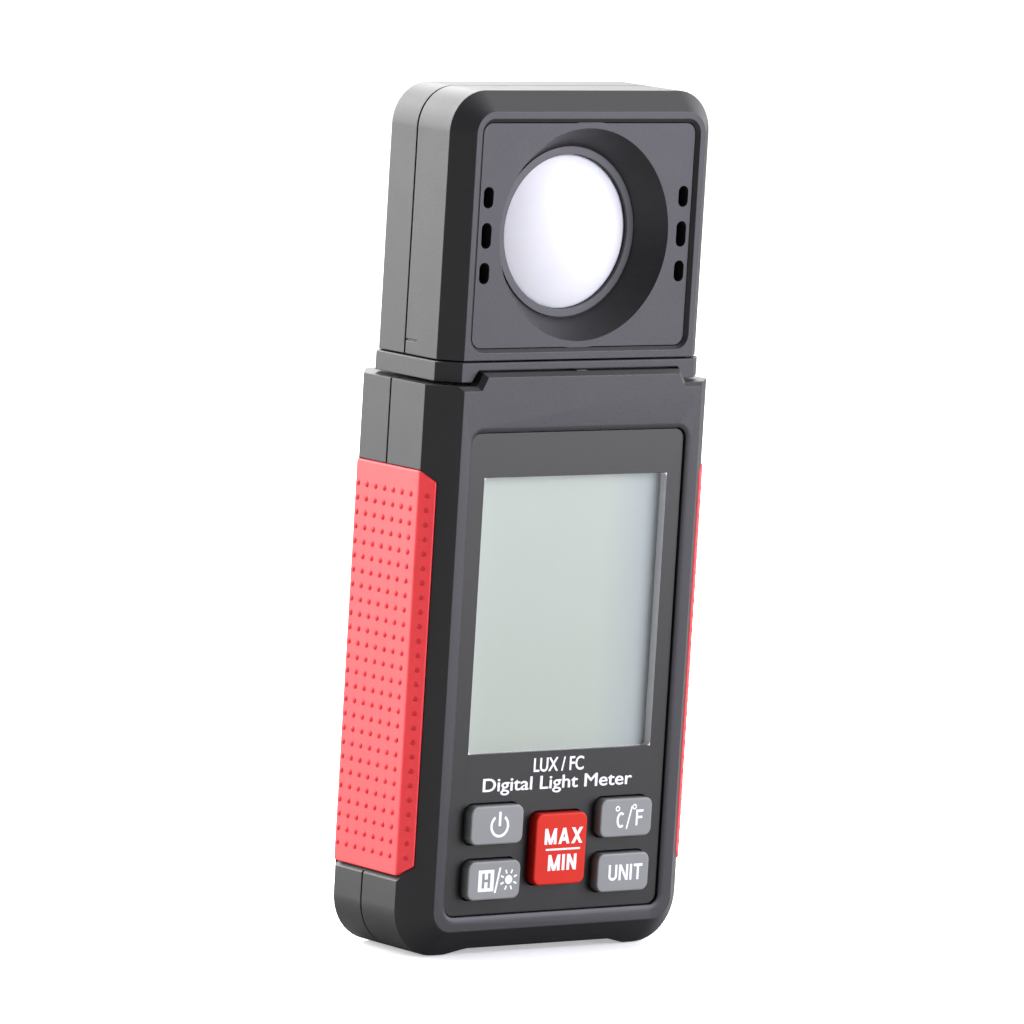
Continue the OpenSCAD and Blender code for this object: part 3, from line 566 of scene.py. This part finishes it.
def text_mesh(bm, words, x, z, height, width, lift):
    """Adds words centred on x and z, of the given height and width."""
    curve = bpy.data.curves.new("words", "FONT")
    curve.body = words
    curve.resolution_u = 6
    holder = bpy.data.objects.new("words", curve)
    bpy.context.scene.collection.objects.link(holder)
    bpy.context.view_layer.update()
    mesh = bpy.data.meshes.new_from_object(holder)
    bpy.data.objects.remove(holder)
    bpy.data.curves.remove(curve)
    xs = [v.co.x for v in mesh.vertices]
    ys = [v.co.y for v in mesh.vertices]
    tall = height * MM / (max(ys) - min(ys))
    wide = width * MM / (max(xs) - min(xs))
    mid_x, mid_y = (max(xs) + min(xs)) / 2, (max(ys) + min(ys)) / 2
    for v in mesh.vertices:
        v.co = Vector(((v.co.x - mid_x) * wide + x * MM, -lift * MM,
                       (v.co.y - mid_y) * tall + z * MM))
    bm.from_mesh(mesh)
    bpy.data.meshes.remove(mesh)


def bold_text(bm, words, x, z, height, width):
    """Words laid down four times, a hair apart, which makes them bolder."""
    for layer, (dx, dz) in enumerate(BOLD_SHIFTS):
        text_mesh(bm, words, x + dx, z + dz, height, width, layer * STROKE_LIFT)


def polygon(bm, points, lift=0.0):
    bm.faces.new([bm.verts.new(mm(x, -lift, z)) for x, z in points])


def box_mark(bm, x0, x1, z0, z1, lift=0.0):
    polygon(bm, [(x0, z0), (x1, z0), (x1, z1), (x0, z1)], lift)


def arc_mark(bm, x, z, inner, outer, start, stop, steps=ARC_STEPS):
    """Ring or part of a ring, in degrees from +X."""
    points = []
    for i in range(steps + 1):
        a = math.radians(start + (stop - start) * i / steps)
        points.append((math.cos(a), math.sin(a)))
    for (c0, s0), (c1, s1) in zip(points, points[1:]):
        polygon(bm, [(x + inner * c0, z + inner * s0), (x + outer * c0, z + outer * s0),
                     (x + outer * c1, z + outer * s1), (x + inner * c1, z + inner * s1)])


def degree_mark(bm, x, z):
    arc_mark(bm, x, z, 0.26, 0.52, 0, 360, SMALL_ARC_STEPS)


def slash(bm, x, z, height, lean, thick):
    foot, top, low, high = x - lean / 2, x + lean / 2, z - height / 2, z + height / 2
    polygon(bm, [(foot - thick / 2, low), (foot + thick / 2, low),
                 (top + thick / 2, high), (top - thick / 2, high)])


# Width of each capital as a share of its height, and its strokes in a box from 0 to 1 both
# ways; a string names an arc
LETTERS = {
    "M": (0.92, [((0, 0), (0, 1)), ((1, 0), (1, 1)), ((0, 1), (0.5, 0)), ((0.5, 0), (1, 1))]),
    "A": (0.82, [((0, 0), (0.5, 1)), ((0.5, 1), (1, 0)), ((0.22, 0.3), (0.78, 0.3))]),
    "X": (0.8, [((0, 0), (1, 1)), ((0, 1), (1, 0))]),
    "I": (0.0, [((0, 0), (0, 1))]),
    "N": (0.68, [((0, 0), (0, 1)), ((1, 0), (1, 1)), ((0, 1), (1, 0))]),
    "U": (0.62, [((0, BOWL), (0, 1)), ((1, BOWL), (1, 1)), "bowl"]),
    "T": (0.62, [((0.5, 0), (0.5, 1)), ((0, 1), (1, 1))]),
    "C": (0.62, ["open"]),
    "F": (0.5, [((0, 0), (0, 1)), ((0, 1), (1, 1)), ((0, 0.52), (0.85, 0.52))]),
}


def stroke(bm, x0, z0, x1, z1, thick, top, lift):
    """Bar between two points, its ends cut level at the letter's foot and top."""
    if abs(z1 - z0) < LEVEL:
        z = min(z0, top - thick / 2)
        left, right = min(x0, x1) - thick / 2, max(x0, x1) + thick / 2
        box_mark(bm, left, right, z - thick / 2, z + thick / 2, lift)
        return
    lean = math.hypot(x1 - x0, z1 - z0) / abs(z1 - z0) * thick / 2
    slope = (x1 - x0) / (z1 - z0)
    low, high = sorted((z0, z1))
    polygon(bm, [(x0 + (z - z0) * slope + side * lean, z)
                 for z, side in ((low, -1), (low, 1), (high, 1), (high, -1))], lift)


def curve_mark(bm, x, z, rx, rz, start, stop, thick):
    """Part of an ellipse drawn with an even pen, in degrees from +X."""
    pen = []
    for i in range(LETTER_ARC_STEPS + 1):
        a = math.radians(start + (stop - start) * i / LETTER_ARC_STEPS)
        normal = Vector((math.cos(a) / rx, math.sin(a) / rz)).normalized() * thick / 2
        px, pz = x + rx * math.cos(a), z + rz * math.sin(a)
        pen.append(((px - normal.x, pz - normal.y), (px + normal.x, pz + normal.y)))
    for (a0, b0), (a1, b1) in zip(pen, pen[1:]):
        polygon(bm, [a0, b0, b1, a1])


def block_word(bm, word, x, z, height, thick):
    """Bold block capitals centred on x and z."""
    gap = thick * LETTER_GAP
    widths = [LETTERS[c][0] * (height - thick) + thick for c in word]
    left = x - (sum(widths) + gap * (len(word) - 1)) / 2
    foot = z - height / 2
    for c, wide in zip(word, widths):
        span = wide - thick
        start = left + thick / 2
        for layer, mark in enumerate(LETTERS[c][1]):
            if mark == "bowl":
                curve_mark(bm, start + span / 2, foot + height * BOWL, span / 2,
                           height * BOWL - thick / 2, 180, 360, thick)
            elif mark == "open":
                curve_mark(bm, start + span / 2, z, span / 2,
                           height / 2 - thick / 2, *C_MOUTH, thick)
            else:
                (u0, v0), (u1, v1) = mark
                stroke(bm, start + u0 * span, foot + v0 * height,
                       start + u1 * span, foot + v1 * height,
                       thick, foot + height, layer * STROKE_LIFT)
        left += wide + gap


def legend(name, body, y, draw):
    bm = bmesh.new()
    draw(bm)
    bmesh.ops.remove_doubles(bm, verts=bm.verts, dist=0.0005 * MM)
    solid_ink(bm, y)
    piece = mesh_object(name, bm, "legend_white", body)


def icon_centre(node):
    """Where a key's legend is centred, a little right of the key's middle."""
    low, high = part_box(node)
    return (low.x + high.x) / 2 / MM + ICON_SHIFT, (low.z + high.z) / 2 / MM


def draw_power(bm):
    x, z = icon_centre("key_power")
    arc_mark(bm, x, z - 0.15, 1.62, 2.12, 125, 415)
    box_mark(bm, x - 0.27, x + 0.27, z - 0.2, z + 2.4)


def draw_hold(bm):
    """An H in a filled box, a slash and a lamp's rays."""
    x, z = icon_centre("key_hold")
    left = x - 2.35
    outer, inner, tall, roof = 1.75, 0.95, 1.95, 1.35
    bar, gap, overlap = 0.36, 0.25, 0.001
    # the letter is the dark key showing through between these fills
    box_mark(bm, left - outer, left - inner, z - tall, z + tall)
    box_mark(bm, left + inner, left + outer, z - tall, z + tall)
    for bottom, top in ((z - tall, z - roof), (z + roof, z + tall)):
        box_mark(bm, left - inner - overlap, left + inner + overlap, bottom, top)
    box_mark(bm, left - bar, left + bar, z + gap, z + roof + overlap)
    box_mark(bm, left - bar, left + bar, z - roof - overlap, z - gap)
    slash(bm, x + 0.25, z, 4.6, 1.0, 0.42)
    lamp_x = x + 2.75
    arc_mark(bm, lamp_x, z, 0.0, 0.82, 0, 360)
    near, far, half = 1.2, 1.95, 0.17
    for i in range(8):
        a = math.radians(45 * i + 22.5)
        c, s = math.cos(a), math.sin(a)
        polygon(bm, [(lamp_x + reach * c - side * half * s, z + reach * s + side * half * c)
                     for reach, side in ((near, 1), (near, -1), (far, -1), (far, 1))])


def draw_maxmin(bm):
    x, z = icon_centre("key_maxmin")
    block_word(bm, "MAX", x, z + 2.35, CAPITAL, 0.62)
    block_word(bm, "MIN", x, z - 2.45, CAPITAL, 0.62)
    box_mark(bm, x - 3.9, x + 3.9, z - 0.22, z + 0.12)


def draw_temp(bm):
    x, z = icon_centre("key_temp")
    degree_mark(bm, x - 2.6, z + 1.7)
    block_word(bm, "C", x - 1.75, z - 0.4, CAPITAL, 0.45)
    slash(bm, x + 0.15, z, 4.2, 1.1, 0.36)
    degree_mark(bm, x + 1.25, z + 1.9)
    block_word(bm, "F", x + 2.5, z - 0.1, CAPITAL, 0.45)


def draw_unit(bm):
    x, z = icon_centre("key_unit")
    block_word(bm, "UNIT", x, z, CAPITAL, 0.5)


def draw_title(bm):
    bold_text(bm, "LUX / FC", 0.0, 34.35, 2.5, 11.3)
    bold_text(bm, "Digital Light Meter", 0.0, 30.75, 3.1, 33.9)


legend("legend_power", "power_key", KEY_FACE_Y, draw_power)
legend("legend_hold", "hold_key", KEY_FACE_Y, draw_hold)
legend("legend_maxmin", "maxmin_key", KEY_FACE_Y, draw_maxmin)
legend("legend_temp", "temp_key", KEY_FACE_Y, draw_temp)
legend("legend_unit", "unit_key", KEY_FACE_Y, draw_unit)
legend("legend_title", "housing", PANEL_FACE_Y, draw_title)

# ---------- floor, background and lights ----------

FLOOR_HALF, FLOOR_DROP = 4.0, 0.0002    # metres
FLOOR_GLOW = 0.4                        # lifts the floor to white for the camera
LIGHT_AIM = Vector((0, 0, 0.078))       # the object's middle
WORLD_AWAY = (0.61, 0.78, -0.1)         # from the object's front left to behind it
WORLD_TURN = 0.7                        # brightness changes between minus and plus this
WORLD_NEAR, WORLD_FAR = 0.22, 2.6       # brightness in front of the object and behind it
WORLD_SEEN = 1.05                       # and what the camera sees, a little over white


def make_floor():
    s = Shader("floor")
    s.feed(Base_Color=s.mix(s.noise(3.0), (0.90, 0.90, 0.90), (0.93, 0.93, 0.93)))
    s.set(Roughness=0.6)
    # the camera sees a white floor; the object's underside and gloss get a dimmer one
    dim = s.add("ShaderNodeBsdfDiffuse")
    dim.inputs["Color"].default_value = (0.3, 0.3, 0.3, 1.0)
    seen = s.add("ShaderNodeAddShader")
    glow = s.add("ShaderNodeEmission")
    glow.inputs["Strength"].default_value = FLOOR_GLOW
    s.link(s.bsdf.outputs["BSDF"], seen.inputs[0])
    s.link(glow.outputs["Emission"], seen.inputs[1])
    pick = s.add("ShaderNodeMixShader")
    s.link(s.add("ShaderNodeLightPath").outputs["Is Camera Ray"], pick.inputs["Fac"])
    s.link(dim.outputs["BSDF"], pick.inputs[1])
    s.link(seen.outputs["Shader"], pick.inputs[2])
    s.link(pick.outputs["Shader"], s.surface)
    bm = bmesh.new()
    bmesh.ops.create_grid(bm, x_segments=8, y_segments=8, size=FLOOR_HALF)
    mesh = bpy.data.meshes.new("floor")
    bm.to_mesh(mesh)
    bm.free()
    floor = bpy.data.objects.new("floor", mesh)
    floor.location.z = -FLOOR_DROP
    mesh.materials.append(s.mat)
    bpy.context.scene.collection.objects.link(floor)


def area_light(name, direction, distance, width, height, power, colour=(1.0, 1.0, 1.0)):
    """Soft box that faces the object's middle. Lengths are in metres and power in watts."""
    data = bpy.data.lights.new(name, "AREA")
    data.shape = "RECTANGLE"
    data.size, data.size_y = width, height
    data.energy = power
    data.color = colour
    light = bpy.data.objects.new(name, data)
    bpy.context.scene.collection.objects.link(light)
    away = Vector(direction).normalized()
    light.location = LIGHT_AIM + away * distance
    light.rotation_mode = "QUATERNION"
    light.rotation_quaternion = (-away).to_track_quat("-Z", "Y")


def make_world():
    """White to the camera. In reflections and as light it's bright behind the object and
    dim in front."""
    world = bpy.data.worlds.new("studio")
    bpy.context.scene.world = world
    world.use_nodes = True
    tree = world.node_tree
    tree.nodes.clear()
    new, link = tree.nodes.new, tree.links.new
    out = new("ShaderNodeOutputWorld")
    coords = new("ShaderNodeTexCoord")
    dot = new("ShaderNodeVectorMath")
    dot.operation = "DOT_PRODUCT"
    dot.inputs[1].default_value = WORLD_AWAY
    ramp = new("ShaderNodeMapRange")
    ramp.interpolation_type = "SMOOTHSTEP"
    limits = {"From Min": -WORLD_TURN, "From Max": WORLD_TURN,
              "To Min": WORLD_NEAR, "To Max": WORLD_FAR}
    for key, value in limits.items():
        ramp.inputs[key].default_value = value
    lit = new("ShaderNodeBackground")
    seen = new("ShaderNodeBackground")
    seen.inputs["Color"].default_value = (1.0, 1.0, 1.0, 1.0)
    seen.inputs["Strength"].default_value = WORLD_SEEN
    path = new("ShaderNodeLightPath")
    pick = new("ShaderNodeMixShader")
    link(coords.outputs["Generated"], dot.inputs[0])
    link(dot.outputs["Value"], ramp.inputs["Value"])
    link(ramp.outputs["Result"], lit.inputs["Strength"])
    link(path.outputs["Is Camera Ray"], pick.inputs["Fac"])
    link(lit.outputs["Background"], pick.inputs[1])
    link(seen.outputs["Background"], pick.inputs[2])
    link(pick.outputs["Shader"], out.inputs["Surface"])


make_world()
make_floor()
area_light("side_box", (-0.68, 0.70, 0.26), 0.9, 0.9, 1.0, 21.0)
area_light("front_box", (0.62, -0.75, 0.2), 1.0, 0.9, 1.0, 20.5, (0.88, 0.855, 1.0))
area_light("top_box", (0.1, 0.9, 0.9), 1.1, 1.2, 1.0, 20.0)
bpy.context.scene.view_settings.view_transform = "Standard"
bpy.context.scene.view_settings.look = "None"
